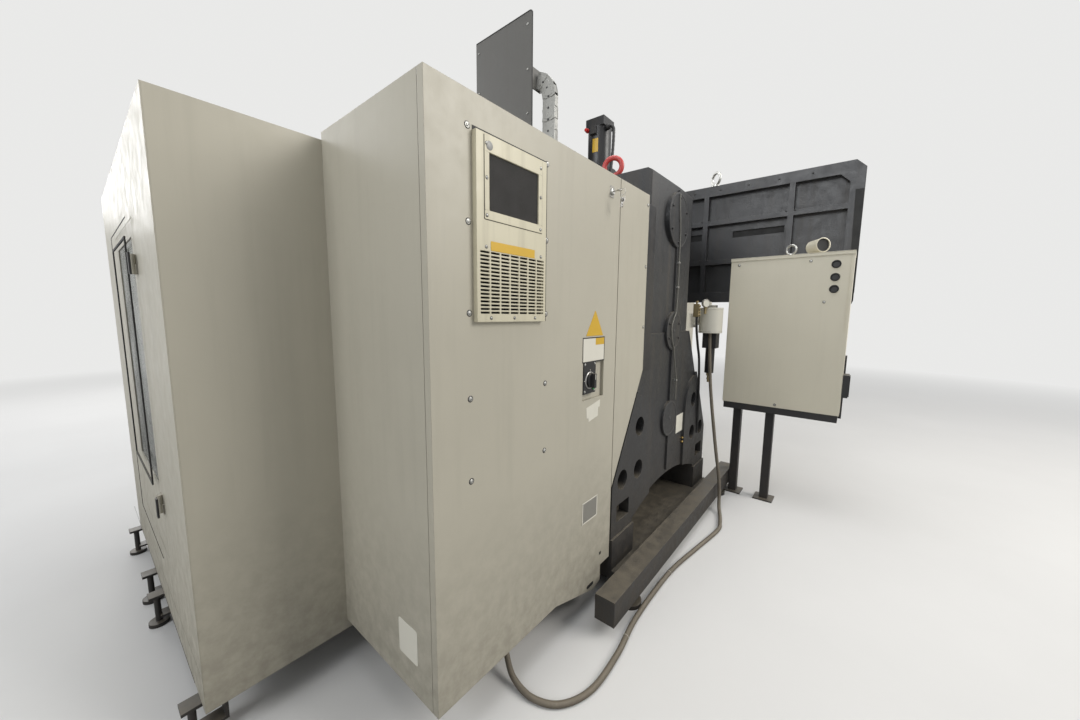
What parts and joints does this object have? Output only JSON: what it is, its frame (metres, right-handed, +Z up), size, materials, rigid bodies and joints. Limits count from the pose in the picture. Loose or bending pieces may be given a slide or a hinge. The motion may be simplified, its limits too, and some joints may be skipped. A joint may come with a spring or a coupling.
{
  "type": "cnc machining center",
  "caption": "Vertical machining centre: cast bed and column, XYZ axes, spindle head, enclosure, cabinet, chain tool magazine with swing arm, and chiller.",
  "frame": {"origin": "on the floor, in the spindle's plane, halfway between the foremost and the rearmost faces", "axes": "+Z up, -Y the operator's front, +Y the rear with the electrical cabinet, +X the machine's right-hand side as the operator sees it, where the cabinet stands"},
  "size_m": [4.962, 3.6, 3.6],
  "materials": {
    "casting": "painted charcoal",
    "black_steel": "satin black",
    "red_paint": "gloss red",
    "bare_steel": "ground",
    "motor_black": "satin black",
    "machined_iron": "milled and scraped",
    "dark_cover": "satin dark grey",
    "light_paint": "fine powder coat",
    "clear_plastic": "milky",
    "glass": "clear laminated",
    "red_plastic": "gloss",
    "green_plastic": "gloss",
    "black_plastic": "moulded",
    "cream_paint": "fine powder coat",
    "zinc_plate": "zinc plated",
    "white_plastic": "translucent white",
    "cable_sheath": "corrugated"
  },
  "bodies": {
    "machine_frame": {"bed": "casting", "levelling_feet": "black_steel", "column": "casting", "column_eyebolt": "red_paint", "axis_rails": "bare_steel", "axis_motors": "motor_black", "head_conduit": "clear_plastic", "enclosure_right": "light_paint", "enclosure_left": "light_paint", "enclosure_rear": "light_paint", "enclosure_front": "light_paint", "chip_pan": "bare_steel", "pendant_arm": "black_steel", "cabinet_shell": "light_paint", "cabinet_side_cover": "light_paint", "equipment_plate": "zinc_plate", "magazine_frame": "casting", "atc_gearbox": "casting", "chiller_body": "cream_paint", "chiller_base": "black_steel", "lube_unit": "white_plastic", "cable_duct": "black_steel", "bed_cable": "cable_sheath"},
    "y_screw_set": {"y_screw": "bare_steel"},
    "z_screw_set": {"z_screw": "bare_steel"},
    "x_screw_set": {"x_screw": "bare_steel"},
    "saddle_set": {"saddle": "casting", "x_motor": "motor_black"},
    "table_set": {"table": "machined_iron"},
    "head_set": {"head": "casting", "head_side_cover": "dark_cover", "head_front_cover": "light_paint", "spindle_motor": "motor_black"},
    "spindle_set": {"spindle": "bare_steel", "tool_holder": "bare_steel"},
    "front_door_left_set": {"front_door_left": "light_paint", "front_window_left": "glass"},
    "front_door_right_set": {"front_door_right": "light_paint", "front_window_right": "glass"},
    "side_door_set": {"side_door": "light_paint", "side_window": "glass"},
    "pendant_set": {"pendant_box": "dark_cover"},
    "estop_set": {"estop_button": "red_plastic"},
    "start_set": {"start_button": "green_plastic"},
    "feed_knob_set": {"feed_knob": "black_plastic"},
    "handwheel_set": {"handwheel": "black_plastic"},
    "cabinet_door_set": {"cabinet_door": "light_paint", "cooling_unit": "cream_paint", "door_fasteners": "bare_steel", "isolator_base": "black_plastic"},
    "key_set": {"lock_key": "bare_steel"},
    "isolator_set": {"isolator_handle": "black_plastic"},
    "lower_run_set": {"chain_lower_run": "black_plastic"},
    "rear_bend_set": {"chain_rear_bend": "black_plastic"},
    "upper_run_set": {"chain_upper_run": "black_plastic"},
    "front_bend_set": {"chain_front_bend": "black_plastic"},
    "sprocket_set": {"chain_sprocket": "bare_steel"},
    "change_pot_set": {"change_pot": "black_plastic"},
    "arm_shaft_set": {"atc_shaft": "bare_steel"},
    "arm_set": {"atc_arm": "bare_steel"}
  },
  "joints": [
    {"name": "saddle_y", "type": "slide", "parent": "machine_frame", "child": "saddle_set", "axis": [0, 1, 0], "range_m": [-0.35, 0.35]},
    {"name": "table_x", "type": "slide", "parent": "saddle_set", "child": "table_set", "axis": [1, 0, 0], "range_m": [-0.9, 0.9]},
    {"name": "head_z", "type": "slide", "parent": "machine_frame", "child": "head_set", "axis": [0, 0, 1], "range_m": [-0.7, 0]},
    {"name": "y_screw_turn", "type": "hinge", "parent": "machine_frame", "child": "y_screw_set", "pos_m": [0, -0.5, 0.43], "axis": [0, 1, 0], "range_deg": [-7900, 7900]},
    {"name": "x_screw_turn", "type": "hinge", "parent": "saddle_set", "child": "x_screw_set", "pos_m": [0, -0.76, 0.79], "axis": [1, 0, 0], "range_deg": [-20300, 20300]},
    {"name": "z_screw_turn", "type": "hinge", "parent": "machine_frame", "child": "z_screw_set", "pos_m": [0, 0.256, 1.5], "axis": [0, 0, 1], "range_deg": [-15800, 100]},
    {"name": "spindle_turn", "type": "hinge", "parent": "head_set", "child": "spindle_set", "pos_m": [0, -0.76, 2], "axis": [0, 0, 1], "continuous": true},
    {"name": "front_door_left_slide", "type": "slide", "parent": "machine_frame", "child": "front_door_left_set", "axis": [-1, 0, 0], "range_m": [0, 0.93]},
    {"name": "front_door_right_slide", "type": "slide", "parent": "machine_frame", "child": "front_door_right_set", "axis": [1, 0, 0], "range_m": [0, 0.93]},
    {"name": "side_door_swing", "type": "hinge", "parent": "machine_frame", "child": "side_door_set", "pos_m": [2.427, -0.29, 1.182], "axis": [0, 0, 1], "range_deg": [0, 110]},
    {"name": "pendant_swing", "type": "hinge", "parent": "machine_frame", "child": "pendant_set", "pos_m": [1.78, -1.685, 1.375], "axis": [0, 0, 1], "range_deg": [0, 90]},
    {"name": "estop_press", "type": "slide", "parent": "pendant_set", "child": "estop_set", "axis": [0, 1, 0], "range_m": [0, 0.005]},
    {"name": "start_press", "type": "slide", "parent": "pendant_set", "child": "start_set", "axis": [0, 1, 0], "range_m": [0, 0.004], "stiffness_N_per_m": 500, "springref_m": -0.002},
    {"name": "feed_knob_turn", "type": "hinge", "parent": "pendant_set", "child": "feed_knob_set", "pos_m": [1.45, -1.765, 1.18], "axis": [0, 1, 0], "range_deg": [-135, 135]},
    {"name": "handwheel_turn", "type": "hinge", "parent": "pendant_set", "child": "handwheel_set", "pos_m": [1.61, -1.765, 1.12], "axis": [0, 1, 0], "continuous": true},
    {"name": "cabinet_door_swing", "type": "hinge", "parent": "machine_frame", "child": "cabinet_door_set", "pos_m": [1.937, 0.868, 1.19], "axis": [0, 0, -1], "range_deg": [0, 110]},
    {"name": "lock_turn", "type": "hinge", "parent": "cabinet_door_set", "child": "key_set", "pos_m": [0.909, 0.886, 2.099], "axis": [0, 1, 0], "range_deg": [0, 90]},
    {"name": "isolator_turn", "type": "hinge", "parent": "cabinet_door_set", "child": "isolator_set", "pos_m": [1.069, 0.887, 1.213], "axis": [0, 1, 0], "range_deg": [0, 90]},
    {"name": "lower_run_shift", "type": "slide", "parent": "machine_frame", "child": "lower_run_set", "axis": [0, 1, 0], "range_m": [0, 0.125]},
    {"name": "sprocket_turn", "type": "hinge", "parent": "machine_frame", "child": "sprocket_set", "pos_m": [-1.197, -0.76, 2.31852], "axis": [1, 0, 0], "range_deg": [0, 25.71]},
    {"name": "rear_bend_turn", "type": "hinge", "parent": "machine_frame", "child": "rear_bend_set", "pos_m": [-1.25, 1.365, 2.31852], "axis": [1, 0, 0], "range_deg": [0, 25.71]},
    {"name": "upper_run_shift", "type": "slide", "parent": "machine_frame", "child": "upper_run_set", "axis": [0, -1, 0], "range_m": [0, 0.125]},
    {"name": "front_bend_turn", "type": "hinge", "parent": "machine_frame", "child": "front_bend_set", "pos_m": [-1.25, -0.76, 2.31852], "axis": [1, 0, 0], "range_deg": [0, 25.71]},
    {"name": "change_pot_tip", "type": "hinge", "parent": "lower_run_set", "child": "change_pot_set", "pos_m": [-1.235, -0.76, 1.99], "axis": [0, -1, 0], "range_deg": [0, 90]},
    {"name": "arm_ram", "type": "slide", "parent": "machine_frame", "child": "arm_shaft_set", "axis": [0, 0, -1], "range_m": [0, 0.18]},
    {"name": "arm_turn", "type": "hinge", "parent": "arm_shaft_set", "child": "arm_set", "pos_m": [-0.6425, -0.76, 1.822], "axis": [0, 0, 1], "range_deg": [0, 90]}
  ],
  "couplings": [
    {"joint": "y_screw_turn", "follows": "saddle_y", "rad_per_m": 392.7},
    {"joint": "x_screw_turn", "follows": "table_x", "rad_per_m": 392.7},
    {"joint": "z_screw_turn", "follows": "head_z", "rad_per_m": 392.7},
    {"joint": "upper_run_shift", "follows": "lower_run_shift", "ratio": 1},
    {"joint": "sprocket_turn", "follows": "lower_run_shift", "rad_per_m": 3.5904},
    {"joint": "rear_bend_turn", "follows": "lower_run_shift", "rad_per_m": 3.5904},
    {"joint": "front_bend_turn", "follows": "lower_run_shift", "rad_per_m": 3.5904}
  ]
}
